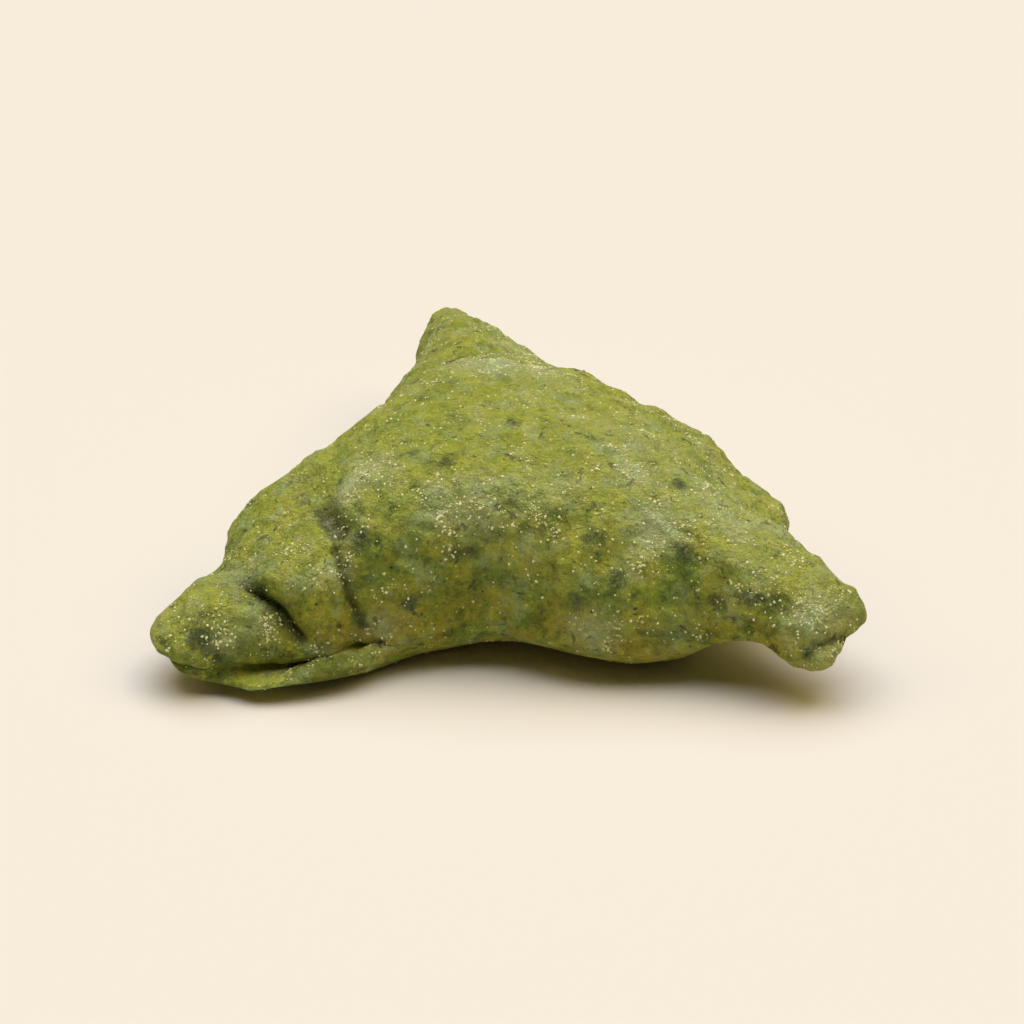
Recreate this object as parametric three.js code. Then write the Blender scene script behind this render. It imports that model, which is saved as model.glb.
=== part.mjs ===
// Spinach fatayer: one three-cornered parcel of green dough, about 86 mm from corner to corner.
// Millimetres, +Z up, +X from the left corner to the right corner, +Y towards the back corner.
// The whole parcel is one closed solid. It is worked out as rings round a pole at the top of the
// dome: each ring follows the outline of the parcel, and each bearing has its own reach, rim
// height and fullness. Corners, presses, folds and the seam lip are then added to that.
import * as THREE from 'three';

// Mesh fineness.
const COLUMNS = 112;
const RINGS = 44;

// Overall heights, measured from the table.
const DOME_HEIGHT = 26.5;
const BASE_DEPTH = -2.5;

// The crown round the pole is the same in every direction.
const CROWN_REACH = 26.0;
const CROWN_FULLNESS = 2.6;
const CROWN_SHOULDER = 0.52;

// The sides of the parcel: how far each bearing reaches from the pole, how high its rim is,
// how full the top is there, how square its shoulder turns down, and how sharply the side tucks
// under below the rim.
const SIDES = [
  { at: 'belly', bearing: -60, reach: 28.2, rim: 5.8, fullness: 4.4, shoulder: 0.5, tuck: 0.8 },
  { at: 'right front', bearing: -40, reach: 35.1, rim: 7.2, fullness: 3.6, shoulder: 0.52, tuck: 0.6 },
  { at: 'right shoulder', bearing: -20, reach: 38.0, rim: 10.5, fullness: 2.6, shoulder: 0.56, tuck: 0.65 },
  { at: 'right side', bearing: 2, reach: 34.5, rim: 11.0, fullness: 2.5, shoulder: 0.55, tuck: 0.8 },
  { at: 'right flank', bearing: 22, reach: 29.5, rim: 10.5, fullness: 2.5, shoulder: 0.52, tuck: 0.7 },
  { at: 'right back flank', bearing: 45, reach: 26.5, rim: 9.5, fullness: 2.5, shoulder: 0.5, tuck: 0.5 },
  { at: 'right of the back', bearing: 72, reach: 29.0, rim: 9.5, fullness: 2.4, shoulder: 0.52, tuck: 0.5 },
  { at: 'back', bearing: 100, reach: 36.0, rim: 10.0, fullness: 2.2, shoulder: 0.58, tuck: 0.5 },
  { at: 'left of the back', bearing: 128, reach: 28.0, rim: 7.0, fullness: 2.2, shoulder: 0.6, tuck: 0.5 },
  { at: 'left back flank', bearing: 158, reach: 25.5, rim: 6.0, fullness: 2.2, shoulder: 0.62, tuck: 0.5 },
  { at: 'left shoulder', bearing: 186, reach: 32.0, rim: 7.0, fullness: 2.6, shoulder: 0.62, tuck: 0.5 },
  { at: 'left corner', bearing: 208, reach: 36.0, rim: 4.5, fullness: 2.4, shoulder: 0.74, tuck: 0.5 },
  { at: 'left front', bearing: 222, reach: 34.5, rim: 4.2, fullness: 2.9, shoulder: 0.6, tuck: 0.5 },
  { at: 'left of the waist', bearing: 238, reach: 26.0, rim: 5.0, fullness: 3.8, shoulder: 0.5, tuck: 0.6 },
  { at: 'waist', bearing: 256, reach: 22.0, rim: 5.8, fullness: 4.6, shoulder: 0.5, tuck: 0.75 },
  { at: 'right of the waist', bearing: 275, reach: 21.8, rim: 6.0, fullness: 4.6, shoulder: 0.5, tuck: 0.8 },
];

// The three pinched corners: extra reach, width as an angle, how blunt the tip is, how far it
// lifts the rim, and how deeply it is undercut.
const CORNERS = [
  { at: 'right nub', bearing: -32, reach: 13.4, width: 10.0, blunt: 3.8, lift: 0.4, under: 6 },
  { at: 'left lobe', bearing: 209, reach: 9.5, width: 9.2, blunt: 2.8, lift: 0.3, under: 4 },
  { at: 'back fin', bearing: 97.9, reach: 13.5, width: 7.3, blunt: 2.0, lift: 3.0, under: 6 },
];

// Where fingers have pressed or drawn the dough: middle, radius and the way it moved.
const PRESSES = [
  { at: 'left neck', middle: [-33.5, -12.5, 11], radius: 4.2, move: [0.6, 0, -0.6] },
  { at: 'left back dip', middle: [-22, 11, 13], radius: 10, move: [1.0, -1.5, -4.4] },
  { at: 'left shoulder', middle: [-31, -6, 12], radius: 7, move: [-1.2, 0, 0.6] },
  { at: 'belly foot', middle: [20, -22, 0], radius: 9, move: [0, -0.8, -0.9] },
  { at: 'waist arch', middle: [3.5, -16, 0], radius: 10, move: [0, 0.4, 2.0] },
  { at: 'right arch', middle: [33, -20, 3], radius: 7.2, move: [0, 1.9, 7.1] },
  { at: 'right shoulder', middle: [30, -4, 18], radius: 7, move: [-1.0, 0.4, -1.0] },
  { at: 'nub foot', middle: [42, -29, 5], radius: 6, move: [0, -1.6, -2.5] },
  { at: 'nub heel', middle: [37.6, -28, 6], radius: 3, move: [0.4, -0.5, -1.2] },
  { at: 'fin crest', middle: [2, 36, 12], radius: 7, move: [1.0, 1.0, 2.4] },
  { at: 'fin slope', middle: [5, 32, 16], radius: 5, move: [0, 0.4, 1.6] },
  { at: 'fin ridge', middle: [14, 30, 14], radius: 7, move: [0.5, 1.0, 3.6] },
  { at: 'fin foot', middle: [-10.5, 35, 12], radius: 4, move: [0.7, -0.2, -0.2] },
  { at: 'right of the fin', middle: [24, 21, 18], radius: 7, move: [0, -0.5, -0.8] },
  { at: 'second lobe', middle: [-22.5, -21, 12], radius: 4.5, move: [-0.4, -1.0, 0.8] },
  { at: 'first lobe', middle: [-34, -21, 8], radius: 5, move: [0, -0.4, 1.4] },
  { at: 'left tip', middle: [-38, -23, 4], radius: 8, move: [0, -2.6, 1.5] },
  { at: 'left of the crown', middle: [-18, -1.5, 22], radius: 5, move: [0, 0, -0.8] },
  { at: 'dip in the right side', middle: [31, 5.5, 13], radius: 4, move: [-1.9, -0.3, -1.1] },
  { at: 'swelling below it', middle: [36, -3.5, 12], radius: 4, move: [0.6, 0.3, 0.5] },
  { at: 'swelling above it', middle: [27.5, 5, 18], radius: 4, move: [0.3, 0.2, 0.7] },
  { at: 'nub tip', middle: [44, -22.5, 10.5], radius: 3.5, move: [0.5, 0.1, 0.2] },
  { at: 'nub shoulder', middle: [42, -18.5, 12], radius: 3.5, move: [-0.4, -0.3, -0.4] },
];

// Folds in the dough: valleys that run from point to point over the surface.
const FOLDS = [
  { at: 'between the left lobes', depth: 1.5, width: 2.3,
    path: [[-31.0, -15.6, 10], [-29.3, -18.6, 11], [-25.5, -21.2, 10.2], [-22.4, -23.2, 6.4]] },
  { at: 'beside the waist', depth: 1.1, width: 2.4,
    path: [[-19.1, -12.8, 19.1], [-18.2, -16.4, 18.2], [-17.2, -20.1, 16.5], [-15.3, -22.3, 7]] },
  { at: 'across the nub', depth: 0.9, width: 1.6,
    path: [[43.5, -25, 8], [41, -26.7, 9.2], [37.4, -28.8, 8]] },
  { at: 'before the fin', depth: 1.2, width: 3.0,
    path: [[-10.3, 15.2, 21.5], [-4.5, 17.4, 24.3], [1, 18.5, 23.8], [7, 17.5, 23]] },
];

// Seam lip: the spare edge of the dough sheet, standing out along the left front. It is a thin
// flap at its left end, lifted off the table, and a thicker roll further right, where its top
// row is higher up.
const LIP = [
  { bearing: 200, width: 0, top: 97, lift: 1.8 },
  { bearing: 204, width: 1.2, top: 98, lift: 2.0 },
  { bearing: 208, width: 3.4, top: 101, lift: 2.0 },
  { bearing: 212, width: 5.8, top: 104, lift: 1.9 },
  { bearing: 216, width: 7.4, top: 106, lift: 1.8 },
  { bearing: 220, width: 8.9, top: 106, lift: 1.6 },
  { bearing: 224, width: 10.0, top: 104, lift: 1.4 },
  { bearing: 228, width: 8.2, top: 98, lift: 1.1 },
  { bearing: 232, width: 6.6, top: 94, lift: 0.7 },
  { bearing: 237, width: 4.9, top: 94, lift: 0.4 },
  { bearing: 240, width: 1.6, top: 96, lift: 0.2 },
  { bearing: 244, width: 0, top: 99, lift: 0 },
  { bearing: 250, width: 0, top: 100, lift: 0 },
];
const LIP_BOTTOM_ROW = 128;
const LIP_CREVICE = 1.5;
const CREVICE_FROM = 204;
const CREVICE_FULL = 216;

// Unevenness of the filling pressing through the dough.
const BROAD_LUMP = 0.3;
const SMALL_LUMP = 0.12;

const RAD = Math.PI / 180;

function ease(from, to, x) {
  const t = Math.min(1, Math.max(0, (x - from) / (to - from)));
  return t * t * (3 - 2 * t);
}

// Straight-line value of a key of the lip's table at a bearing.
function lipAt(key, bearing) {
  const last = LIP.length - 1;
  const around = Math.min(LIP[last].bearing, Math.max(LIP[0].bearing, bearing));
  let i = 0;
  while (i < last - 1 && LIP[i + 1].bearing < around) i += 1;
  const t = (around - LIP[i].bearing) / (LIP[i + 1].bearing - LIP[i].bearing);
  return LIP[i][key] + t * (LIP[i + 1][key] - LIP[i][key]);
}

// Angle from b to a, from -180 to 180 degrees.
function turn(a, b) {
  return ((((a - b + 180) % 360) + 360) % 360) - 180;
}

// One property of the sides at any bearing: a smooth closed curve through the table.
function sideAt(key, bearing) {
  const n = SIDES.length;
  const first = SIDES[0].bearing;
  const a = first + ((((bearing - first) % 360) + 360) % 360);
  let i = n - 1;
  while (SIDES[i].bearing > a) i -= 1;
  const at = (j) => {
    const row = SIDES[((j % n) + n) % n];
    return { x: row.bearing + 360 * Math.floor(j / n), y: row[key] };
  };
  const [p, q, r, s] = [at(i - 1), at(i), at(i + 1), at(i + 2)];
  const h = r.x - q.x;
  const t = (a - q.x) / h;
  const slopeQ = ((r.y - p.y) / (r.x - p.x)) * h;
  const slopeR = ((s.y - q.y) / (s.x - q.x)) * h;
  return (2 * t ** 3 - 3 * t ** 2 + 1) * q.y + (t ** 3 - 2 * t ** 2 + t) * slopeQ
    + (3 * t ** 2 - 2 * t ** 3) * r.y + (t ** 3 - t ** 2) * slopeR;
}

// Extra reach of the corners on a ring at s of the way out. Below the rim it shrinks by how
// deeply each corner is undercut.
function cornerReach(bearing, s = 1, row = 0) {
  let sum = 0;
  for (const c of CORNERS) {
    const shape = Math.exp(-(Math.abs(turn(bearing, c.bearing) / c.width) ** c.blunt));
    sum += c.reach * shape * s ** (row < 90 ? 6 : c.under);
  }
  return sum;
}

function rimHeight(bearing) {
  let height = sideAt('rim', bearing);
  for (const c of CORNERS) {
    height += c.lift * Math.exp(-((turn(bearing, c.bearing) / (1.3 * c.width)) ** 2));
  }
  return height;
}

// Values of x from a to b at which the running total of weight(x) is evenly shared.
function evenlyShared(weight, a, b, count) {
  const fine = 1440;
  const step = (b - a) / fine;
  const total = [0];
  for (let i = 0; i < fine; i += 1) {
    total.push(total[i] + weight(a + (i + 0.5) * step, step));
  }
  const out = [];
  let j = 0;
  for (let k = 0; k <= count; k += 1) {
    const goal = (total[fine] * k) / count;
    while (j < fine - 1 && total[j + 1] < goal) j += 1;
    out.push(a + (j + (goal - total[j]) / (total[j + 1] - total[j])) * step);
  }
  return out;
}

// Columns are evenly spaced along the outline, and closer together round the corners and
// along the lip.
function outlineStep(bearing, step) {
  const reach = (b) => sideAt('reach', b) + cornerReach(b);
  const before = reach(bearing - step / 2);
  const after = reach(bearing + step / 2);
  const closer = 1 + cornerReach(bearing) / 14 + 1.1 * Math.exp(-((turn(bearing, 220) / 20) ** 2));
  return Math.hypot(after - before, before * step * RAD) * closer;
}

// Rings are closest together where the seam lip stands out.
function ringWeight(row) {
  return 1 + 4 * Math.exp(-(((row - 108) / 13) ** 2));
}

// The smooth parcel before it is handled. row runs from 0 at the top pole to 180 underneath.
function smoothParcel(bearing, row) {
  const s = Math.sin(row * RAD);
  const reach = CROWN_REACH * s + (sideAt('reach', bearing) - CROWN_REACH) * s ** 2.5
    + cornerReach(bearing, s, row);
  const rim = rimHeight(bearing);
  const k = ease(0.2, 0.9, s);
  const fullness = CROWN_FULLNESS + (sideAt('fullness', bearing) - CROWN_FULLNESS) * k;
  const shoulder = CROWN_SHOULDER + (sideAt('shoulder', bearing) - CROWN_SHOULDER) * k;
  const upper = Math.max(0, 1 - s ** fullness) ** shoulder;
  const lower = Math.max(0, 1 - s ** 3) ** sideAt('tuck', bearing);
  const z = row < 90 ? rim + (DOME_HEIGHT - rim) * upper : rim + (BASE_DEPTH - rim) * lower;
  return new THREE.Vector3(reach * Math.cos(bearing * RAD), reach * Math.sin(bearing * RAD), z);
}

function handle(point) {
  for (const press of PRESSES) {
    const middle = new THREE.Vector3(...press.middle);
    const share = Math.exp(-point.distanceToSquared(middle) / press.radius ** 2);
    point.addScaledVector(new THREE.Vector3(...press.move), share);
  }
  return point;
}

function pushLip(point, bearing, row) {
  const around = ((bearing % 360) + 360) % 360;
  const width = lipAt('width', around);
  const top = lipAt('top', around);
  const across = Math.min(1, Math.max(0, (row - top) / (LIP_BOTTOM_ROW - top)));
  const crevice = LIP_CREVICE * ease(CREVICE_FROM, CREVICE_FULL, around) * ease(0, 3, width)
    * Math.exp(-(((row - top + 2) / 3) ** 2));
  const push = width * Math.sin(Math.PI * across) ** 0.45 - crevice;
  point.x += push * Math.cos(bearing * RAD);
  point.y += push * Math.sin(bearing * RAD);
  const share = ease(0, 6, width) * ease(0.1, 0.5, across) * (1 - ease(132, 140, row));
  point.z = Math.max(0, Math.max(0, point.z) + lipAt('lift', around) * share);
  return point;
}

function lumps(p) {
  const broad = Math.sin(0.23 * p.x + 0.17 * p.y + 0.1 * p.z + 1)
    * Math.sin(0.21 * p.y - 0.19 * p.x + 0.25 * p.z + 2);
  const small = Math.sin(0.5 * p.x + 0.3 * p.y + 0.4)
    * Math.sin(0.45 * p.y - 0.3 * p.x + 0.6 * p.z + 1.3);
  return BROAD_LUMP * broad + SMALL_LUMP * small;
}

function foldDepth(point) {
  let depth = 0;
  const nearest = new THREE.Vector3();
  for (const fold of FOLDS) {
    let gap = Infinity;
    for (let i = 1; i < fold.path.length; i += 1) {
      const from = new THREE.Vector3(...fold.path[i - 1]);
      const to = new THREE.Vector3(...fold.path[i]);
      new THREE.Line3(from, to).closestPointToPoint(point, true, nearest);
      gap = Math.min(gap, nearest.distanceTo(point));
    }
    depth += fold.depth * Math.exp(-((gap / fold.width) ** 2));
  }
  return depth;
}

function parcelGeometry() {
  const bearings = evenlyShared(outlineStep, -60, 300, COLUMNS);
  const rows = evenlyShared(ringWeight, 0, 180, RINGS);
  const place = (bearing, row) => {
    return pushLip(handle(smoothParcel(bearing, row)), bearing, row);
  };
  const outward = (bearing, row) => {
    const steps = 0.5;
    const along = place(bearing + steps, row).sub(place(bearing - steps, row));
    const down = place(bearing, row + steps).sub(place(bearing, row - steps));
    return down.cross(along).normalize();
  };
  const geometry = new THREE.SphereGeometry(1, COLUMNS, RINGS);
  const position = geometry.attributes.position;
  for (let j = 0; j <= RINGS; j += 1) {
    for (let i = 0; i <= COLUMNS; i += 1) {
      const bearing = bearings[i % COLUMNS];
      const point = place(bearing, rows[j]);
      if (j > 0 && j < RINGS) {
        const share = ease(0, 2.5, point.z) * (1 - ease(96, 108, rows[j]));
        const rise = (lumps(point) - foldDepth(point)) * share;
        point.addScaledVector(outward(bearing, rows[j]), rise);
      }
      position.setXYZ(j * (COLUMNS + 1) + i, point.x, point.y, Math.max(0, point.z));
    }
  }
  geometry.deleteAttribute('uv');
  geometry.computeVertexNormals();
  geometry.computeBoundingBox();
  const { min, max } = geometry.boundingBox;
  geometry.translate(-(min.x + max.x) / 2, -(min.y + max.y) / 2, 0);
  return geometry;
}

const greenDough = new THREE.MeshStandardMaterial({
  color: 0x8a8f42,
  roughness: 0.62,
  metalness: 0,
});

const parcel = new THREE.Mesh(parcelGeometry(), greenDough);
parcel.name = 'parcel';

const group = new THREE.Group();
group.name = 'spinach_fatayer';
group.add(parcel);

export default group;
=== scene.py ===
"""Spinach fatayer: one parcel of green dough, dusted with fine meal, on a plain table."""

import bpy
import numpy as np
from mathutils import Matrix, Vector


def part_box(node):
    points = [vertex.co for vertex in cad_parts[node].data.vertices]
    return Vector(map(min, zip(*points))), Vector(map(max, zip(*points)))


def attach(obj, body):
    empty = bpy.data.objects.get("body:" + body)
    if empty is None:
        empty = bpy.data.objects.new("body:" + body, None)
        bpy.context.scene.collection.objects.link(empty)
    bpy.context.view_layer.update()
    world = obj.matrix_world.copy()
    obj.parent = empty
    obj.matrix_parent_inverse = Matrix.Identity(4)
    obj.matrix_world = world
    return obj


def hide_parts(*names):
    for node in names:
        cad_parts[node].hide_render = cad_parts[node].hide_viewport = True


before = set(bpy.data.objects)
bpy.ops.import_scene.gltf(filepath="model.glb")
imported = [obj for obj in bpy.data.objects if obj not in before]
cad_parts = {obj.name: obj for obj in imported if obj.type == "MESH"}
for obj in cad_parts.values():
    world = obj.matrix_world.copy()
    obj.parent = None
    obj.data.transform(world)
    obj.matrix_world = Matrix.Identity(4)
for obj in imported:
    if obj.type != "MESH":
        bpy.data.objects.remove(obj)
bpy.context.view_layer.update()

# ---------------------------------------------------------------------------------------------
# The dough parcel. A round of soft dough, green from the spinach kneaded into it, is folded up
# round the filling, pinched into three corners and set down on its seams. The spare edge of the
# sheet stands out along the left front as a thin lip.
# ---------------------------------------------------------------------------------------------
MM = 0.001  # lengths below are in millimetres, angles in degrees

DOME_HEIGHT = 26.5
BASE_DEPTH = -2.5
CROWN_REACH = 26.0
CROWN_FULLNESS = 2.6
CROWN_SHOULDER = 0.52
CROWN_BLEND = 2.5  # power by which the crown's reach gives way to the sides'
BASE_FULLNESS = 3.0
RIM_ROW = 90

# Bearing from the pole, reach, rim height, fullness of the top, squareness of the shoulder, and
# how sharply the side turns under below the rim.
SIDES = np.array([
    (-60, 28.2, 5.8, 4.4, 0.50, 0.80),  # belly
    (-40, 35.1, 7.2, 3.6, 0.52, 0.60),  # right front
    (-20, 38.0, 10.5, 2.6, 0.56, 0.65),  # right shoulder
    (2, 34.5, 11.0, 2.5, 0.55, 0.80),  # right side
    (22, 29.5, 10.5, 2.5, 0.52, 0.70),  # right flank
    (45, 26.5, 9.5, 2.5, 0.50, 0.50),  # right back flank
    (72, 29.0, 9.5, 2.4, 0.52, 0.50),  # right of the back
    (100, 36.0, 10.0, 2.2, 0.58, 0.50),  # back
    (128, 28.0, 7.0, 2.2, 0.60, 0.50),  # left of the back
    (158, 25.5, 6.0, 2.2, 0.62, 0.50),  # left back flank
    (186, 32.0, 7.0, 2.6, 0.62, 0.50),  # left shoulder
    (208, 36.0, 4.5, 2.4, 0.74, 0.50),  # left corner
    (222, 34.5, 4.2, 2.9, 0.60, 0.50),  # left front
    (238, 26.0, 5.0, 3.8, 0.50, 0.60),  # left of the waist
    (256, 22.0, 5.8, 4.6, 0.50, 0.75),  # waist
    (275, 21.8, 6.0, 4.6, 0.50, 0.80),  # right of the waist
])
REACH, RIM, FULLNESS, SHOULDER, TUCK = 1, 2, 3, 4, 5

# Bearing, extra reach, width as an angle, bluntness of the tip, lift of the rim, undercut.
CORNERS = (
    (-32.0, 13.4, 10.0, 3.8, 0.4, 6.0),  # right nub
    (209.0, 9.5, 9.2, 2.8, 0.3, 4.0),  # left lobe
    (97.9, 13.5, 7.3, 2.0, 3.0, 6.0),  # back fin
)
CORNER_TAPER = 6.0  # power by which a corner dies out towards the crown
LIFT_WIDTH = 1.3  # width of the lift, as a share of the corner's own

# Middle, radius and move of each place where fingers pressed or drew the dough.
PRESSES = (
    ((-33.5, -12.5, 11), 4.2, (0.6, 0.0, -0.6)),  # left neck
    ((-22, 11, 13), 10.0, (1.0, -1.5, -4.4)),  # left back dip
    ((-31, -6, 12), 7.0, (-1.2, 0.0, 0.6)),  # left shoulder
    ((20, -22, 0), 9.0, (0.0, -0.8, -0.9)),  # belly foot
    ((3.5, -16, 0), 10.0, (0.0, 0.4, 2.0)),  # waist arch
    ((33.0, -20, 3), 7.2, (0.0, 1.9, 7.1)),  # right arch
    ((30, -4, 18), 7.0, (-1.0, 0.4, -1.0)),  # right shoulder
    ((42, -29, 5), 6.0, (0.0, -1.6, -2.5)),  # nub foot
    ((37.6, -28, 6), 3.0, (0.4, -0.5, -1.2)),  # nub heel
    ((2, 36, 12), 7.0, (1.0, 1.0, 2.4)),  # fin crest
    ((5, 32, 16), 5.0, (0.0, 0.4, 1.6)),  # fin slope
    ((14, 30, 14), 7.0, (0.5, 1.0, 3.6)),  # fin ridge
    ((-10.5, 35, 12), 4.0, (0.7, -0.2, -0.2)),  # fin foot
    ((24, 21, 18), 7.0, (0.0, -0.5, -0.8)),  # right of the fin
    ((-22.5, -21, 12), 4.5, (-0.4, -1.0, 0.8)),  # second lobe
    ((-34, -21, 8), 5.0, (0.0, -0.4, 1.4)),  # first lobe
    ((-38, -23, 4), 8.0, (0.0, -2.6, 1.5)),  # left tip
    ((-18, -1.5, 22), 5.0, (0.0, 0.0, -0.8)),  # left of the crown
    ((31, 5.5, 13), 4.0, (-1.9, -0.3, -1.1)),  # dip in the right side
    ((36, -3.5, 12), 4.0, (0.6, 0.3, 0.5)),  # swelling below it
    ((27.5, 5, 18), 4.0, (0.3, 0.2, 0.7)),  # swelling above it
    ((44, -22.5, 10.5), 3.5, (0.5, 0.1, 0.2)),  # nub tip
    ((42, -18.5, 12), 3.5, (-0.4, -0.3, -0.4)),  # nub shoulder
)

# Depth, width and path of each fold in the dough. The sharp creases are the narrow ones.
FOLDS = (
    (1.0, 1.8, ((-31.5, -14.2, 9.7), (-25.5, -21.2, 10.2), (-22.4, -23.2, 6.4))),  # left lobes
    (1.4, 0.50, ((-29.3, -18.6, 11.0), (-25.5, -21.2, 10.2), (-22.4, -23.3, 6.2))),
    (0.9, 2.4, ((-19.1, -12.8, 19.1), (-17.2, -20.1, 16.5), (-15.3, -22.3, 7.0))),  # waist
    (0.8, 0.5, ((-18.4, -19.0, 16.2), (-16.9, -22.3, 11.8), (-15.0, -22.4, 7.5))),
    (0.8, 1.3, ((-19.8, -13.9, 18.3), (-17.7, -17.3, 18.0))),
    (0.9, 1.2, ((-31.8, -19.5, 10.8), (-30.1, -21.5, 10.2))),  # pit on the first lobe
    (0.6, 1.6, ((43.5, -25.0, 8.0), (41.0, -26.7, 9.2), (37.4, -28.8, 8.0))),  # nub
    (0.5, 0.6, ((43.5, -25.0, 8.0), (41.0, -26.7, 9.2), (37.4, -28.8, 8.0))),
    (0.6, 1.6, ((33.6, -26.3, 14.2), (35.0, -27.4, 12.6))),
    (1.2, 3.0, ((-10.3, 15.2, 21.5), (-4.5, 17.4, 24.3), (1, 18.5, 23.8), (7, 17.5, 23))),  # fin
)

# Middle, size and strength of the larger pieces of leaf that show through the skin. Some lie in
# creases and hollows, where they are also painted shade.
LEAVES_AND_SHADE = (
    ((-22.5, -10.3, 18.1), 1.4, 0.7),
    ((-20.8, -13.7, 18.4), 1.3, 0.8),
    ((-19.5, -15.4, 17.9), 1.4, 0.9),
    ((-18.6, -17.5, 17.2), 1.5, 0.7),
    ((-15.4, -19.1, 18.1), 1.7, 1.0),
    # These three lie on the nub's crease and are partly painted shade.
    ((33.7, -26.0, 13.3), 1.6, 0.8),
    ((30.1, -26.1, 14.1), 1.6, 0.8),
    ((26.6, -24.9, 12.8), 1.9, 0.9),
    ((22.8, -13.3, 22.2), 1.4, 1.0),
    ((23.0, -21.6, 17.7), 1.7, 0.8),
    ((2.6, -5.6, 26.5), 1.3, 0.9),
    ((-9.9, -10.9, 25.2), 1.9, 0.7),
    ((-5.2, -13.1, 25.2), 1.6, 0.8),
    ((-4.5, -20.2, 16.7), 1.6, 0.8),
    ((-1.9, -19.9, 16.5), 1.4, 0.7),
    ((12.6, -21.1, 19.6), 1.6, 0.8),
    ((15.1, -23.5, 15.1), 1.7, 1.0),
    ((3.0, -18.4, 22.9), 2.0, 0.6),
    ((9.9, -24.2, 12.8), 1.8, 0.9),
    ((-9.6, -21.2, 10.0), 1.3, 1.0),
    ((-14.0, -20.5, 14.5), 1.6, 0.5),
    ((8.3, -16.0, 24.4), 2.0, 0.5),
    ((-34.5, -24.6, 10.0), 2.2, 0.7),
    ((-34.6, -26.4, 8.3), 1.8, 0.8),
    ((-32.6, -25.9, 5.8), 1.9, 0.8),
    ((40.5, -21.0, 14.0), 1.6, 0.5),
)

# Middle, size and strength of the places where meal has settled thickest, and of a few painted
# lit spots, as on the foot of the nub, that lighten dough which lies in shade.
DRIFTS_AND_LIT_SPOTS = (
    ((-27.9, -23.6, 8.5), 2.2, 1.0),
    ((-31.2, -25.4, 7.7), 2.0, 0.7),
    ((-30.4, -17.6, 11.5), 2.4, 0.7),
    ((-17.5, -13.2, 21.6), 1.8, 2.0),
    ((37.7, -27.7, 12.3), 2.4, 1.3),
    ((32.1, -25.1, 15.5), 2.0, 0.6),
    ((-18.0, -20.8, 14.8), 1.8, 0.6),
    ((12.6, -24.4, 8.4), 2.6, 1.5),
    ((17.3, -21.5, 17.5), 2.4, 0.4),
    ((19.6, -19.3, 19.8), 2.4, 1.7),
    ((-13.2, -21.9, 7.4), 2.2, 1.1),
    ((-14.2, -11.8, 23.5), 2.6, 0.9),
    ((-6.3, -18.3, 21.3), 2.6, 0.9),
    ((-1.5, -18.8, 21.2), 2.6, 0.9),
    ((7.9, -17.9, 23.8), 2.4, 0.5),
    ((26.5, -14.6, 20.8), 2.6, 0.5),
    ((17.3, -14.0, 23.4), 2.2, 0.6),
    ((22.0, -24.5, 8.0), 2.6, 0.5),
    ((2.0, -19.5, 20.5), 5.0, 0.25),
    ((18.0, -8.0, 24.0), 8.0, 0.35),
    ((32.0, -16.0, 18.5), 7.0, 0.4),
    # These two on the nub are painted light that lightens shaded dough.
    ((39.0, -27.9, 8.0), 2.4, 0.5),
    ((41.5, -26.5, 11.5), 3.0, 0.6),
    ((1.2, 9.7, 26.4), 3.0, 1.1),
    ((-2.5, 10.5, 26.0), 3.0, 0.7),
    ((6.5, 9.0, 25.6), 3.0, 0.7),
    ((24.0, 10.0, 19.0), 4.0, 0.4),
    ((-26.0, 2.0, 15.0), 4.0, 0.4),
    ((4.0, 28.0, 17.0), 4.0, 0.5),
)

# Middle, size and strength of the paler torn edge of the lip.
TORN = (
    ((-30.5, -24.8, 1.6), 1.6, 0.9),
    ((-28.0, -25.2, 1.4), 1.8, 1.1),
    ((-25.0, -25.8, 1.8), 1.6, 1.0),
    ((-34.6, -26.9, 4.2), 1.5, 0.8),
    ((-14.0, -23.0, 3.0), 1.4, 0.6),
)

# Bearing, width, top row and lift of the lip: a thin raised flap at the left, a thick roll
# lying on the table at the right.
LIP = np.array([
    (200, 0.0, 97, 1.8),
    (204, 0.0, 98, 2.0),
    (208, 1.2, 101, 2.0),
    (212, 3.8, 104, 1.9),
    (216, 6.6, 106, 1.8),
    (220, 8.9, 106, 1.6),
    (224, 10.0, 104, 1.4),
    (228, 8.2, 98, 1.1),
    (232, 6.6, 94, 0.7),
    (237, 4.9, 94, 0.4),
    (240, 1.6, 96, 0.2),
    (244, 0.0, 99, 0.0),
    (250, 0.0, 100, 0.0),
])
LIP_BOTTOM_ROW = 128.0
LIP_UNDER = (132, 140)  # rows over which the lift ends beneath it
LIP_ROUNDNESS = 0.45
CREVICE_DEPTH = 1.5
CREVICE_FROM, CREVICE_FULL = 211.0, 220.0  # bearings
CREVICE_ABOVE, CREVICE_ROWS = 2, 3

# Height, size and seed of each kind of lump in the skin, and the rows over which they end.
LUMPS = ((0.24, 22, 1), (0.16, 9, 2), (0.10, 4, 3), (0.08, 1.8, 4))
SKIN_END = (96, 108)

# The surface is a grid of columns and rings. Columns crowd at the corners and along the lip, and
# rings at the lip's height: how much, at which bearing or row, and how far to each side.
DOUGH_COLUMNS = 440
DOUGH_RINGS = 222
FINE_BEARINGS, FINE_ROWS = 7201, 4001
CROWDING_REACH = 14  # corner reach at which columns stand twice as close
COLUMN_CROWD, COLUMN_MIDDLE, COLUMN_SPREAD = 0.9, 228, 18
RING_CROWD, RING_MIDDLE, RING_SPREAD = 3, 111, 15


def ease(start, stop, x):
    """Zero before start, one after stop, and between them the S-curve 3 t^2 - 2 t^3."""
    t = np.clip((x - start) / (stop - start), 0, 1)
    return t * t * (3 - 2 * t)


def bell(x):
    """One at zero and falling away on both sides of it: exp(-x ^ 2)."""
    return np.exp(-(x**2))


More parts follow.
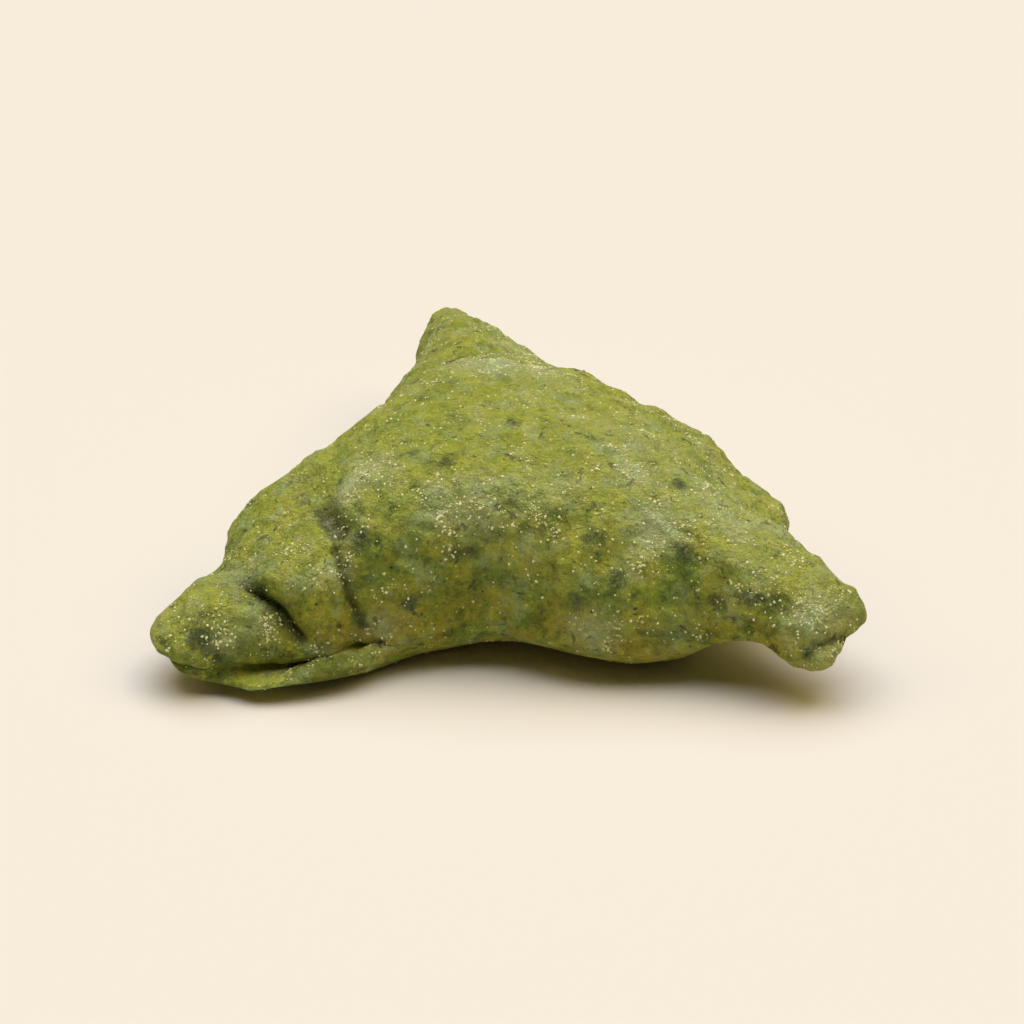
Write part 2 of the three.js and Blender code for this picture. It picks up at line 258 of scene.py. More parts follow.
def near(points, middle, size):
    """One at middle and falling away round it: exp(-(distance / size) ^ 2)."""
    return np.exp(-((points - np.array(middle)) ** 2).sum(-1) / size**2)


def turn(bearing, middle):
    """Angle from middle to bearing, from -180 to 180 degrees."""
    return (bearing - middle + 180) % 360 - 180


def side_at(key, bearing):
    """One property of the sides at any bearing: a closed curve of cubic pieces through the
    table, whose slope at each row is that of the line between the rows beside it."""
    known = np.concatenate([SIDES[:, 0] - 360, SIDES[:, 0], SIDES[:, 0] + 360])
    value = np.tile(SIDES[:, key], 3)
    slope = np.zeros_like(value)
    slope[1:-1] = (value[2:] - value[:-2]) / (known[2:] - known[:-2])
    around = (bearing - SIDES[0, 0]) % 360 + SIDES[0, 0]
    i = np.searchsorted(known, around, side="right") - 1
    step = known[i + 1] - known[i]
    t = (around - known[i]) / step
    return (
        (2 * t**3 - 3 * t**2 + 1) * value[i]
        + (t**3 - 2 * t**2 + t) * step * slope[i]
        + (3 * t**2 - 2 * t**3) * value[i + 1]
        + (t**3 - t**2) * step * slope[i + 1]
    )


def corner_reach(bearing, way=1.0, row=0.0):
    """Sum over the corners of reach times exp(-|angle / width| ^ bluntness). A ring part of
    the way out takes way ^ taper of it above the rim and way ^ undercut below."""
    return sum(
        reach
        * np.exp(-np.abs(turn(bearing, middle) / width) ** blunt)
        * way ** np.where(row < RIM_ROW, CORNER_TAPER, undercut)
        for middle, reach, width, blunt, lift, undercut in CORNERS
    )


def rim_height(bearing):
    """Rim height of the sides plus each corner's lift under a bell curve."""
    return side_at(RIM, bearing) + sum(
        lift * bell(turn(bearing, middle) / (LIFT_WIDTH * width))
        for middle, reach, width, blunt, lift, undercut in CORNERS
    )


def evenly_shared(x, weight, count):
    """Values of x at which the running total of weight is evenly shared out."""
    total = np.concatenate([[0], np.cumsum((weight[1:] + weight[:-1]) / 2 * np.diff(x))])
    return np.interp(np.linspace(0, total[-1], count + 1), total, x)


def gap_to_path(points, path):
    """Distance from each point to the nearest place on a path of straight stretches."""
    path = np.array(path, float)
    gap = np.full(points.shape[:-1], np.inf)
    for start, stop in zip(path[:-1], path[1:]):
        run = stop - start
        t = np.clip((points - start) @ run / (run @ run), 0, 1)
        gap = np.minimum(gap, np.linalg.norm(points - start - t[..., None] * run, axis=-1))
    return gap


def laid_on(points, path, step=1.0):
    """A path cut into short steps, each end moved to the nearest point of the surface."""
    path = np.array(path, float)
    run = np.concatenate([[0], np.cumsum(np.linalg.norm(np.diff(path, axis=0), axis=1))])
    ends = np.linspace(0, run[-1], max(2, int(run[-1] / step) + 1))
    ends = np.stack([np.interp(ends, run, path[:, axis]) for axis in range(3)], 1)
    flat = points.reshape(-1, 3)
    return [flat[((flat - end) ** 2).sum(1).argmin()] for end in ends]


def rolling(points, size, seed, waves=28):
    """Smooth unevenness about one high: a sum of cosine waves whose lengths are near size,
    each with its own random heading and phase."""
    draw = np.random.default_rng(seed)
    heading = draw.normal(size=(waves, 3))
    pace = (2 * np.pi / size) * draw.uniform(0.6, 1.4, (waves, 1))
    heading *= pace / np.linalg.norm(heading, axis=1, keepdims=True)
    phase = draw.uniform(0, 2 * np.pi, waves)
    total = np.zeros(points.shape[:-1])
    for along, start in zip(heading, phase):
        total += np.cos(points @ along + start)
    return total / np.sqrt(waves / 2)


def gathered(points, spots):
    """Sum over round spots of strength times how near each point is."""
    return sum(strength * near(points, middle, size) for middle, size, strength in spots)


def facing(points):
    """Outward unit normal of a closed grid of columns and rings, from its two tangents."""
    along = np.roll(points, -1, 0) - np.roll(points, 1, 0)
    down = np.gradient(points, axis=1)
    out = np.cross(down, along)
    out /= np.maximum(np.linalg.norm(out, axis=-1, keepdims=True), 1e-9)
    out[:, 0] = (0, 0, 1)
    out[:, -1] = (0, 0, -1)
    return out


def grid_lines(columns, rings):
    """Bearings of the columns and rows of the rings, from 0 at the top pole to 180 underneath.
    Columns stand evenly along the outline, but closer at the corners and along the lip, and
    rings stand closer at the height of the lip."""
    fine = np.linspace(-60, 300, FINE_BEARINGS)
    outline = side_at(REACH, fine) + corner_reach(fine)
    step = np.hypot(np.gradient(outline, fine), outline * np.pi / 180)
    closer = 1 + corner_reach(fine) / CROWDING_REACH
    closer = closer + COLUMN_CROWD * bell(turn(fine, COLUMN_MIDDLE) / COLUMN_SPREAD)
    bearing = evenly_shared(fine, step * closer, columns)[:-1, None]
    fine = np.linspace(0, 180, FINE_ROWS)
    closer = 1 + RING_CROWD * bell((fine - RING_MIDDLE) / RING_SPREAD)
    row = evenly_shared(fine, closer, rings)[None, :]
    return bearing, row


def plain_form(out, bearing, row):
    """The parcel before it is worked. A ring at row r lies at sin(r) of the way out: round near
    the pole, and the outline with its corners at the rim. Its height falls from the dome to the
    rim as (1 - way ^ fullness) ^ shoulder, and on to the base with the base's fullness and the
    side's tuck."""
    way = np.sin(np.radians(row))
    reach = (
        CROWN_REACH * way
        + (side_at(REACH, bearing) - CROWN_REACH) * way**CROWN_BLEND
        + corner_reach(bearing, way, row)
    )
    rim = rim_height(bearing)
    sides = ease(0.2, 0.9, way)
    fullness = CROWN_FULLNESS + (side_at(FULLNESS, bearing) - CROWN_FULLNESS) * sides
    shoulder = CROWN_SHOULDER + (side_at(SHOULDER, bearing) - CROWN_SHOULDER) * sides
    upper = rim + (DOME_HEIGHT - rim) * np.clip(1 - way**fullness, 0, 1) ** shoulder
    tuck = side_at(TUCK, bearing)
    lower = rim + (BASE_DEPTH - rim) * np.clip(1 - way**BASE_FULLNESS, 0, 1) ** tuck
    height = np.where(row < RIM_ROW, upper, lower)
    return out * reach[..., None] + height[..., None] * np.array([0, 0, 1])


def with_lip(points, out, bearing, row):
    """The lip is pushed out by width times sin(pi t) ^ roundness, where t runs from its top row
    to its bottom row, a crevice is pressed in above it, and the lip is lifted. What was below
    the table is set flat on it. Gives the points and the push."""
    around = bearing % 360
    width = np.interp(around, LIP[:, 0], LIP[:, 1], left=0, right=0)
    top = np.interp(around, LIP[:, 0], LIP[:, 2])
    lift = np.interp(around, LIP[:, 0], LIP[:, 3])
    across = np.clip((row - top) / (LIP_BOTTOM_ROW - top), 0, 1)
    crevice = CREVICE_DEPTH * ease(CREVICE_FROM, CREVICE_FULL, around) * ease(0, 3, width)
    crevice = crevice * bell((row - top + CREVICE_ABOVE) / CREVICE_ROWS)
    push = width * np.sin(np.pi * across) ** LIP_ROUNDNESS - crevice
    points = points + out * push[..., None]
    raised = ease(0, 6, width) * ease(0.1, 0.5, across) * (1 - ease(*LIP_UNDER, row))
    points[..., 2] = np.maximum(np.maximum(points[..., 2], 0) + lift * raised, 0)
    return points, push


def with_skin(points, row):
    """Lumps raise the surface along its normal, and each fold sinks it by depth times
    exp(-(gap / width) ^ 2). Both fade out at the lip and at the table. Gives the points and
    the depth of the folds."""
    lumps = sum(height * rolling(points, size, seed) for height, size, seed in LUMPS)
    valley = np.zeros(points.shape[:-1])
    for depth, width, path in FOLDS:
        valley = valley + depth * bell(gap_to_path(points, laid_on(points, path)) / width)
    rise = (lumps - valley) * (1 - ease(*SKIN_END, row)) * ease(0, 2.5, points[..., 2])
    points = points + facing(points) * rise[..., None]
    points[..., 2] = np.maximum(points[..., 2], 0)
    return points, valley


def parcel_points(columns, rings):
    """Grid of points of the parcel: the plain form, pressed, given its lip, then its skin. Gives
    also the depth of the folds, and how much each point belongs to the lip, from 0 to 1."""
    bearing, row = grid_lines(columns, rings)
    angle = np.radians(bearing)
    out = np.concatenate([np.cos(angle), np.sin(angle), np.zeros((columns, 1))], 1)[:, None, :]
    points = plain_form(out, bearing, row)
    for middle, radius, move in PRESSES:
        points = points + near(points, middle, radius)[..., None] * np.array(move)
    points, push = with_lip(points, out, bearing, row)
    points, valley = with_skin(points, row)
    return points, valley, ease(0.3, 2.5, push)


def mesh_of(name, vertices, corners, sizes):
    """Smooth mesh from points in millimetres. corners gives the points of one face after
    another, and sizes how many points each face has."""
    mesh = bpy.data.meshes.new(name)
    mesh.vertices.add(len(vertices))
    mesh.vertices.foreach_set("co", vertices.ravel() * MM)
    mesh.loops.add(len(corners))
    mesh.loops.foreach_set("vertex_index", corners)
    mesh.polygons.add(len(sizes))
    mesh.polygons.foreach_set("loop_start", np.concatenate([[0], np.cumsum(sizes)[:-1]]))
    mesh.polygons.foreach_set("use_smooth", np.ones(len(sizes), bool))
    mesh.update(calc_edges=True)
    mesh.validate()
    return mesh


def closed_mesh(name, points):
    """Mesh of a grid whose columns close round and whose end rings are single poles. Every
    cell between the poles is a quad; the poles are fans."""
    columns, rings = points.shape[:2]
    vertices = np.concatenate(
        [points[:, 1:-1].transpose(1, 0, 2).reshape(-1, 3), points[:1, 0], points[:1, -1]]
    )
    i = np.arange(columns)
    j = np.arange(rings - 3)[:, None] * columns
    right = (i + 1) % columns
    quads = np.stack([j + i, j + columns + i, j + columns + right, j + right], -1).reshape(-1, 4)
    last = (rings - 3) * columns
    top, bottom = np.full(columns, len(vertices) - 2), np.full(columns, len(vertices) - 1)
    top_fan = np.stack([top, i, right], -1)
    bottom_fan = np.stack([bottom, last + right, last + i], -1)
    corners = np.concatenate([quads.ravel(), top_fan.ravel(), bottom_fan.ravel()])
    sizes = np.concatenate([np.full(len(quads), 4), np.full(2 * columns, 3)])
    return mesh_of(name, vertices, corners, sizes)


def by_vertex(mesh, name, grid):
    """Stores one number a vertex, in the order closed_mesh gives the grid its vertices."""
    values = np.concatenate([grid[:, 1:-1].T.ravel(), grid[:1, 0], grid[:1, -1]])
    mesh.attributes.new(name, "FLOAT", "POINT").data.foreach_set("value", values)


def linked(name, data):
    """An object of the scene that shows a mesh, a lamp or a camera."""
    thing = bpy.data.objects.new(name, data)
    bpy.context.collection.objects.link(thing)
    return thing


dough_points, dough_valley, dough_lip = parcel_points(DOUGH_COLUMNS, DOUGH_RINGS)
dough_leaves_and_shade = gathered(dough_points, LEAVES_AND_SHADE)
dough_drifts_and_lit_spots = gathered(dough_points, DRIFTS_AND_LIT_SPOTS)
dough_torn = gathered(dough_points, TORN)

# The parcel stands in the middle of its place in the frame.
dough_low = dough_points.reshape(-1, 3).min(0)
dough_high = dough_points.reshape(-1, 3).max(0)
cad_box = np.array(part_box("parcel")) / MM
dough_shift = cad_box.mean(0) - (dough_low + dough_high) / 2
dough_shift[2] = 0
dough_points = dough_points + dough_shift
dough_normal = facing(dough_points)

dough_mesh = closed_mesh("dough", dough_points)
by_vertex(dough_mesh, "valley", dough_valley)
by_vertex(dough_mesh, "lip", dough_lip)
by_vertex(dough_mesh, "leaves_and_shade", dough_leaves_and_shade)
by_vertex(dough_mesh, "drifts_and_lit_spots", dough_drifts_and_lit_spots)
by_vertex(dough_mesh, "torn", dough_torn)
by_vertex(dough_mesh, "upward", np.clip(dough_normal[..., 2], 0, 1))
dough = linked("dough", dough_mesh)


class Tone:
    """One output of a node. Arithmetic on it adds Math nodes to its tree."""

    def __init__(self, socket):
        self.socket = socket

    @staticmethod
    def made(tree, kind, settings=None, inputs=None, output=0):
        """A new node: settings first, then the values or links of its sockets."""
        node = tree.nodes.new(kind)
        for key, value in (settings or {}).items():
            setattr(node, key, value)
        for key, value in (inputs or {}).items():
            if isinstance(value, Tone):
                tree.links.new(value.socket, node.inputs[key])
            else:
                node.inputs[key].default_value = value
        return Tone(node.outputs[output])

    def math(self, operation, first, second):
        """A Math node on two values or tones."""
        tree = self.socket.node.id_data
        return Tone.made(tree, "ShaderNodeMath", {"operation": operation}, {0: first, 1: second})

    def __add__(self, other):
        return self.math("ADD", self, other)

    def __radd__(self, other):
        return self.math("ADD", other, self)

    def __sub__(self, other):
        return self.math("SUBTRACT", self, other)

    def __rsub__(self, other):
        return self.math("SUBTRACT", other, self)

    def __mul__(self, other):
        return self.math("MULTIPLY", self, other)

    def __rmul__(self, other):
        return self.math("MULTIPLY", other, self)

    def between(self, start, stop):
        """Zero below start, one above stop, smooth between them."""
        tree = self.socket.node.id_data
        return Tone.made(
            tree,
            "ShaderNodeMapRange",
            {"interpolation_type": "SMOOTHSTEP"},
            {"Value": self, "From Min": start, "From Max": stop},
        )


def blended(tree, share, under, over, kind="MIX"):
    """Colour under with colour over laid on it by share."""
    return Tone.made(
        tree,
        "ShaderNodeMix",
        {"data_type": "RGBA", "blend_type": kind},
        {0: share, 6: under, 7: over},
        2,
    )


def cloud(tree, place, size, detail=3.0, rough=0.55, bend=0.0):
    """Noise from 0 to 1 whose blotches are about size millimetres across."""
    return Tone.made(
        tree,
        "ShaderNodeTexNoise",
        {"noise_dimensions": "3D"},
        {
            "Vector": place,
            "Scale": 1 / size,
            "Detail": detail,
            "Roughness": rough,
            "Distortion": bend,
        },
    )


def in_millimetres(tree, shift=(0.0, 0.0, 0.0)):
    """Object coordinates in millimetres, moved by shift so that layers don't repeat."""
    place = Tone.made(tree, "ShaderNodeTexCoord", output="Object")
    place = Tone.made(
        tree, "ShaderNodeVectorMath", {"operation": "SCALE"}, {0: place, "Scale": 1 / MM}
    )
    return Tone.made(tree, "ShaderNodeVectorMath", {"operation": "ADD"}, {0: place, 1: shift})


def stored(tree, name):
    """A number stored on the points of the mesh."""
    return Tone.made(tree, "ShaderNodeAttribute", {"attribute_name": name}, output="Fac")


def new_finish(name):
    """A material with a plain Principled shader: gives the material, its tree and shader."""
    material = bpy.data.materials.new(name)
    material.use_nodes = True
    return material, material.node_tree, material.node_tree.nodes["Principled BSDF"]


# The skin and what is kneaded into it.
YELLOW_GREEN = (0.48, 0.51, 0.056, 1)
BRIGHT_YELLOW = (0.58, 0.56, 0.050, 1)
LEAF_GREEN = (0.28, 0.385, 0.045, 1)
# Deeper spinach green, stronger on the steep sides as painted shade.
DEEP_GREEN = (0.10, 0.17, 0.010, 1)
# Painted shade on the steep sides, partly damp dough.
WET_SHADE_GREEN = (0.15, 0.205, 0.007, 1)
# Partly painted warm light thrown up from the table.
OLIVE = (0.425, 0.365, 0.024, 1)
# Painted shade cast on the lip by the lobe above it.
LIP_SHADE_GREEN = (0.13, 0.19, 0.020, 1)
TORN_GREEN = (0.64, 0.68, 0.09, 1)
BLUE_GREEN = (0.10, 0.15, 0.040, 1)
SPINACH = (0.038, 0.058, 0.016, 1)
CHARRED = (0.020, 0.030, 0.010, 1)
# Painted shade in the folds.
CREASE_SHADE = (0.050, 0.055, 0.012, 1)

# What lies on it, and two tints that darken it where it is damp and lighten it where dry.
VEIL = (0.42, 0.53, 0.23, 1)
# Flour, which as dust on the level is also a painted sheen.
FLOUR_AND_SHEEN = (0.86, 0.86, 0.52, 1)
DAMP = (0.62, 0.64, 0.50, 1)
DRY = (1.26, 1.25, 1.12, 1)

# How much of each colour its layer lays on where it is thickest.
BRIGHT_SHARE, WET_SHADE_SHARE, OLIVE_SHARE, LIP_SHADE_SHARE, VEIL_SHARE = 0.50, 0.42, 0.80, 0.70, 0.48
BRUISE_SHARE, LEAF_SHARE, SHRED_SHARE, SPECK_SHARE, TORN_SHARE = 0.60, 0.80, 0.75, 0.85, 0.88
DAMP_SHARE, DRY_SHARE, GRIT_SHARE, CREASE_SHADE_SHARE = 0.75, 0.80, 0.45, 0.65

# Size of the blotches of each layer.
GREEN_SIZE, PATCH_SIZE, WET_SHADE_SIZE, OLIVE_SIZE, VEIL_SIZE = 7, 2.8, 6, 5, 3.2
BRUISE_SIZE, LEAF_SIZE, STRAND_SIZE, SHRED_SIZE, SPECK_SIZE = 4.2, 2.2, 1.3, 1.0, 0.6
MOTTLE_SIZE, GRIT_SIZE, DRIFT_SIZE, POWDER_SIZE = 1.2, 0.42, 4, 0.28

# Size of the skin's fine and coarse bumps, how much more the coarse ones weigh, and how far
# and how strongly they rise.
FINE_BUMP, COARSE_BUMP, COARSE_WEIGHT = 0.45, 1.4, 1.7
BUMP_RISE, BUMP_STRENGTH = 0.9 * MM, 0.9

# Shifts of the pattern that keep the blotches of one layer from lying on another's.
THERE, YONDER = (31.0, 17.0, 5.0), (-12.0, 43.0, -21.0)

green_dough, tree, shader = new_finish("green_dough")
here = in_millimetres(tree)
there = in_millimetres(tree, THERE)
yonder = in_millimetres(tree, YONDER)
upward, valley, lip = (stored(tree, name) for name in ("upward", "valley", "lip"))
leaves_and_shade, drifts_and_lit_spots, torn = (stored(tree, name) for name in ("leaves_and_shade", "drifts_and_lit_spots", "torn"))
sideways = Tone.made(tree, "ShaderNodeSeparateXYZ", {}, {0: here}, "X")
height = Tone.made(tree, "ShaderNodeSeparateXYZ", {}, {0: here}, "Z")
steep = upward.between(0.85, 0.35)

# The skin is yellow-green, greener in wide blotches, most on the steep sides.
hue = cloud(tree, here, GREEN_SIZE, 4, 0.55).between(0.42, 0.60) * (0.35 + 0.65 * steep)
hue = blended(tree, hue, YELLOW_GREEN, LEAF_GREEN)
patch = cloud(tree, there, PATCH_SIZE, 4, 0.58)
hue = blended(tree, patch.between(0.46, 0.34) * BRIGHT_SHARE, hue, BRIGHT_YELLOW)

# Steep dough is painted darker, as painted shade on the sides and partly as damp dough, less so
# at its foot. Low down it is painted olive in places, partly as warm light thrown up from the
# table, everywhere but on the left lobe.
wet_and_shade = 0.35 + 0.65 * cloud(tree, yonder, WET_SHADE_SIZE, 4, 0.6).between(0.42, 0.60)
wet_and_shade = wet_and_shade * steep * (1 - 0.45 * height.between(10, 3))
hue = blended(tree, wet_and_shade * WET_SHADE_SHARE, hue, WET_SHADE_GREEN)
olive = height.between(16, 7) * cloud(tree, there, OLIVE_SIZE, 4, 0.6).between(0.38, 0.56)
hue = blended(tree, olive * sideways.between(-32, -22) * OLIVE_SHARE, hue, OLIVE)

# It is deeper green where more spinach is worked in, and more so on the steep sides as painted
# shade. The lip is painted dark green as the shade of the lobe above it. A pale veil lies where
# flour has dried on and over the painted lit spots.
deep = patch.between(0.52, 0.62) * (0.32 + 0.34 * steep)
hue = blended(tree, deep, hue, DEEP_GREEN)
hue = blended(tree, lip * LIP_SHADE_SHARE, hue, LIP_SHADE_GREEN)
veil = cloud(tree, here, VEIL_SIZE, 4, 0.60).between(0.51, 0.66) + 0.9 * drifts_and_lit_spots
hue = blended(tree, veil * VEIL_SHARE, hue, VEIL)

# Pieces of leaf, with the painted shade laid in creases along with them, are nearly black in a
# bruised blue-green edge, with shreds and specks between them. The torn edge of the lip shows
# the pale inside of the dough.
strand = cloud(tree, yonder, STRAND_SIZE, 4, 0.60, 0.3)
bruise = cloud(tree, there, BRUISE_SIZE, 4, 0.58).between(0.58, 0.68) * (0.6 - 0.3 * steep)
bruise = bruise + (leaves_and_shade + 2 * strand).between(1.20, 1.80)
hue = blended(tree, bruise * BRUISE_SHARE, hue, BLUE_GREEN)
leaf = cloud(tree, yonder, LEAF_SIZE, 4, 0.60, 0.5).between(0.59, 0.69)
leaf = leaf + (leaves_and_shade + 2 * strand).between(1.50, 2.10)
hue = blended(tree, leaf * LEAF_SHARE, hue, SPINACH)
shred = cloud(tree, here, SHRED_SIZE, 4, 0.62, 0.6).between(0.61, 0.72)
hue = blended(tree, shred * SHRED_SHARE, hue, CHARRED)
speck = cloud(tree, there, SPECK_SIZE, 1, 0.4).between(0.75, 0.79)
hue = blended(tree, speck * SPECK_SHARE, hue, CHARRED)
tear = (torn + 2.5 * strand).between(1.40, 2.05)
hue = blended(tree, tear * TORN_SHARE, hue, TORN_GREEN)

# The whole is mottled damp and dry and finely gritty, with painted shade down in the folds.
mottle = cloud(tree, there, MOTTLE_SIZE, 4, 0.62)
spotty = 0.60 + 0.40 * steep
hue = blended(tree, mottle.between(0.51, 0.64) * spotty * DAMP_SHARE, hue, DAMP, "MULTIPLY")
hue = blended(tree, mottle.between(0.49, 0.36) * spotty * DRY_SHARE, hue, DRY, "MULTIPLY")
grit = cloud(tree, here, GRIT_SIZE, 3, 0.60)
hue = blended(tree, grit.between(0.52, 0.36) * GRIT_SHARE, hue, DAMP, "MULTIPLY")
hue = blended(tree, valley.between(0.4, 1.5) * CREASE_SHADE_SHARE, hue, CREASE_SHADE)

# Flour lies as a thin dust and as powdery dots, thickest in the drifts and painted lit spots and
# on the level. On the level the dust also stands in for a painted sheen of the overhead light.
drift_and_lit_spot = cloud(tree, here, DRIFT_SIZE, 6, 0.72).between(0.48, 0.68) + drifts_and_lit_spots
dust_and_sheen = (0.03 + 0.21 * drift_and_lit_spot) * (1 - 0.6 * steep)
hue = blended(tree, dust_and_sheen, hue, FLOUR_AND_SHEEN)
powder = cloud(tree, yonder, POWDER_SIZE, 2, 0.55).between(0.54, 0.66)
powder = powder * (0.10 + 0.32 * drift_and_lit_spot) * (1 - 0.5 * steep)
hue = blended(tree, powder, hue, FLOUR_AND_SHEEN)
tree.links.new(hue.socket, shader.inputs["Base Color"])

rough = 0.45 + 0.3 * grit
tree.links.new(rough.socket, shader.inputs["Roughness"])
bumps = cloud(tree, here, FINE_BUMP, 4, 0.7)
bumps = bumps + COARSE_WEIGHT * cloud(tree, there, COARSE_BUMP, 4, 0.6)
relief = {"Height": bumps, "Strength": BUMP_STRENGTH, "Distance": BUMP_RISE}
relief = Tone.made(tree, "ShaderNodeBump", {}, relief, "Normal")
tree.links.new(relief.socket, shader.inputs["Normal"])
shader.inputs["IOR"].default_value = 1.4
shader.inputs["Specular IOR Level"].default_value = 0.3
dough_mesh.materials.append(green_dough)

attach(dough, "root")
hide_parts("parcel")

# ---------------------------------------------------------------------------------------------
# The meal. Coarse semolina and fine flour from the board cling to the dough in drifts, each
# grain half sunk in the skin. Grains are small uneven lumps, all in one mesh.
# ---------------------------------------------------------------------------------------------
GRAINS = 7000
GRAIN_SMALL, GRAIN_LARGE = 0.05, 0.20  # radii
GRAIN_RARITY = 2.0  # power by which large grains are rarer than small ones
GRAIN_FLATNESS = 0.7
GRAIN_STRETCH, GRAIN_RAGGEDNESS = (0.75, 1.3), (0.85, 1.15)
SPRINKLE_SIZE = 6.0
SPRINKLE_SEED, FINE_SPRINKLE_SEED, GRAIN_SEED = 21, 22, 7

draw = np.random.default_rng(GRAIN_SEED)


def lump_form():
    """Twelve points, one from the middle, and twenty faces of an icosahedron."""
    g = (1 + 5**0.5) / 2
    points = [(-1, g, 0), (1, g, 0), (-1, -g, 0), (1, -g, 0), (0, -1, g), (0, 1, g)]
    points += [(0, -1, -g), (0, 1, -g), (g, 0, -1), (g, 0, 1), (-g, 0, -1), (-g, 0, 1)]
    faces = [(0, 11, 5), (0, 5, 1), (0, 1, 7), (0, 7, 10), (0, 10, 11), (1, 5, 9), (5, 11, 4)]
    faces += [(11, 10, 2), (10, 7, 6), (7, 1, 8), (3, 9, 4), (3, 4, 2), (3, 2, 6), (3, 6, 8)]
    faces += [(3, 8, 9), (4, 9, 5), (2, 4, 11), (6, 2, 10), (8, 6, 7), (9, 8, 1)]
    return np.array(points) / np.hypot(1, g), np.array(faces)


def spots_on(points, normal, drifts_and_lit_spots, count, draw):
    """Random spots on a grid surface, with the normal at each. A cell is drawn by its area times
    how thickly the meal lies there: more in the drifts and on the level, none at the table.
    Then a place inside the cell is drawn."""
    first, beside, below = points[:, 1:-2], np.roll(points, -1, 0)[:, 1:-2], points[:, 2:-1]
    area = np.linalg.norm(np.cross(beside - first, below - first), axis=-1)
    sprinkle = rolling(first, SPRINKLE_SIZE, SPRINKLE_SEED)
    sprinkle = sprinkle + 0.6 * rolling(first, SPRINKLE_SIZE / 3, FINE_SPRINKLE_SEED)
    thick = np.exp(0.8 * sprinkle) * (0.35 + 0.65 * ease(-0.3, 0.4, normal[:, 1:-2, 2]))
    thick = thick * (0.7 + 3.0 * drifts_and_lit_spots[:, 1:-2]) * ease(0.3, 1.5, first[..., 2])
    share = np.cumsum((area * thick).ravel())
    cell = np.searchsorted(share, draw.uniform(0, share[-1], count))
    i, j = np.unravel_index(cell, area.shape)
    j = j + 1
    u, v = draw.uniform(0, 1, (2, count, 1))
    after = (i + 1) % points.shape[0]
    spot = (1 - v) * ((1 - u) * points[i, j] + u * points[after, j])
    spot = spot + v * ((1 - u) * points[i, j + 1] + u * points[after, j + 1])
    return spot, normal[i, j]


def scattered(name, spots, normals, radii, draw):
    """One mesh of many lumps: each lump is stretched, turned about its normal, flattened
    along it, and moved to its spot. Each has one random shade."""
    form, faces = lump_form()
    count = len(spots)
    stretch = draw.uniform(*GRAIN_STRETCH, (count, 1, 3))
    ragged = draw.uniform(*GRAIN_RAGGEDNESS, (count, len(form), 1))
    local = form[None] * stretch * ragged
    side = np.cross(normals, draw.normal(size=(count, 3)))
    side /= np.linalg.norm(side, axis=1, keepdims=True)
    other = np.cross(normals, side)
    local = (
        local[..., :1] * side[:, None]
        + local[..., 1:2] * other[:, None]
        + local[..., 2:] * GRAIN_FLATNESS * normals[:, None]
    )
    vertices = (spots[:, None] + local * radii[:, None, None]).reshape(-1, 3)
    corners = (faces[None] + np.arange(count)[:, None, None] * len(form)).ravel()
    mesh = mesh_of(name, vertices, corners, np.full(count * len(faces), 3))
    shade = np.repeat(draw.uniform(0, 1, count), len(form))
    mesh.attributes.new("shade", "FLOAT", "POINT").data.foreach_set("value", shade)
    return mesh


grain_spots, grain_normals = spots_on(dough_points, dough_normal, dough_drifts_and_lit_spots, GRAINS, draw)
grain_radii = draw.uniform(0, 1, GRAINS) ** GRAIN_RARITY
grain_radii = GRAIN_SMALL + (GRAIN_LARGE - GRAIN_SMALL) * grain_radii
grain_mesh = scattered("meal_grains", grain_spots, grain_normals, grain_radii, draw)
grains = linked("meal_grains", grain_mesh)

CREAM_MEAL = (0.92, 0.90, 0.60, 1)
YELLOW_MEAL = (0.70, 0.69, 0.28, 1)
STAIN_SIZE, STAIN_SHARE = 0.3, 0.15

meal, tree, shader = new_finish("meal")
stain = cloud(tree, in_millimetres(tree), STAIN_SIZE, 2)
hue = blended(tree, stored(tree, "shade").between(0.3, 0.9), YELLOW_MEAL, CREAM_MEAL)
hue = blended(tree, stain * STAIN_SHARE, hue, LEAF_GREEN)
tree.links.new(hue.socket, shader.inputs["Base Color"])
rough = 0.55 + 0.2 * stain
tree.links.new(rough.socket, shader.inputs["Roughness"])
grain_mesh.materials.append(meal)

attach(grains, "root")

# ---------------------------------------------------------------------------------------------
# The table. A plain matt cream board, wide enough to fill the view from every side.
# ---------------------------------------------------------------------------------------------
TABLE_HALF = 1.6
TABLE_CREAM = (0.815, 0.759, 0.692, 1)
BOARD_GRAIN = (0.7, 0.6, 0.5, 1)
BOARD_GRAIN_SIZE, BOARD_GRAIN_SHARE = 0.7, 0.03

table_mesh = bpy.data.meshes.new("table")
table_mesh.from_pydata(
    [(x * TABLE_HALF, y * TABLE_HALF, 0) for x, y in ((-1, -1), (1, -1), (1, 1), (-1, 1))],
    [],
    [(0, 1, 2, 3)],
)
table = linked("table", table_mesh)

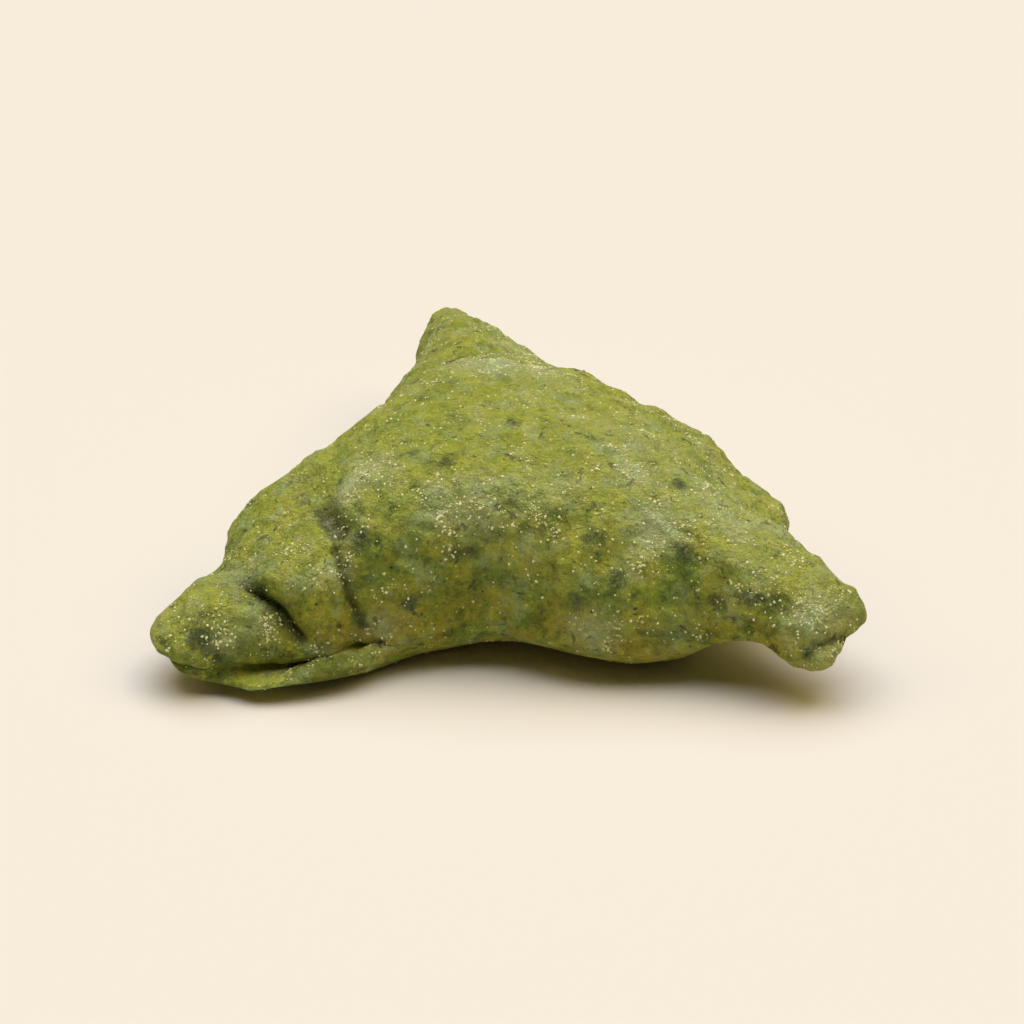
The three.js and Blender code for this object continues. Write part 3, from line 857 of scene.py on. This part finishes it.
cream, tree, shader = new_finish("cream_board")
grain = cloud(tree, in_millimetres(tree), BOARD_GRAIN_SIZE, 2)
hue = blended(tree, grain * BOARD_GRAIN_SHARE, TABLE_CREAM, BOARD_GRAIN)
tree.links.new(hue.socket, shader.inputs["Base Color"])
shader.inputs["Roughness"].default_value = 0.9
shader.inputs["Specular IOR Level"].default_value = 0.1
table_mesh.materials.append(cream)

# ---------------------------------------------------------------------------------------------
# Light and camera. Three wide soft lamps: a strong cool one hangs overhead, a little behind the
# parcel, and a weaker warm one leans in from each side. The warm room fills in faintly.
# ---------------------------------------------------------------------------------------------
COOL, WARM = (0.98, 1.035, 1.14), (1.0, 0.80, 0.36)

# Name, bearing, lean from straight above, spread, strength and colour.
LAMPS = (
    ("top_lamp", 90, 10, 66, 2.48, COOL),
    ("right_lamp", 0, 38, 40, 0.86, WARM),
    ("left_lamp", 180, 38, 40, 0.49, WARM),
)
ROOM_COLOUR, ROOM_STRENGTH = (1.0, 0.75, 0.40, 1), 0.06
CAMERA_PLACE = (0.64 * MM, -389.34 * MM, 231.8 * MM)
CAMERA_DIP = 30.22
CAMERA_LENS, CAMERA_SENSOR = 123.6, 36

for name, bearing, lean, spread, strength, colour in LAMPS:
    lamp_data = bpy.data.lights.new(name, "SUN")
    lamp_data.energy = strength
    lamp_data.angle = np.radians(spread)
    lamp_data.color = colour
    lamp = linked(name, lamp_data)
    lamp.rotation_euler = (0, np.radians(lean), np.radians(bearing))

room = bpy.data.worlds.new("room")
room.use_nodes = True
room_light = room.node_tree.nodes["Background"]
room_light.inputs["Color"].default_value = ROOM_COLOUR
room_light.inputs["Strength"].default_value = ROOM_STRENGTH
bpy.context.scene.world = room

camera_data = bpy.data.cameras.new("camera")
camera_data.lens = CAMERA_LENS
camera_data.sensor_width = CAMERA_SENSOR
camera = linked("camera", camera_data)
camera.location = CAMERA_PLACE
camera.rotation_euler = (np.radians(90 - CAMERA_DIP), 0, 0)
bpy.context.scene.camera = camera
bpy.context.scene.view_settings.view_transform = "Standard"
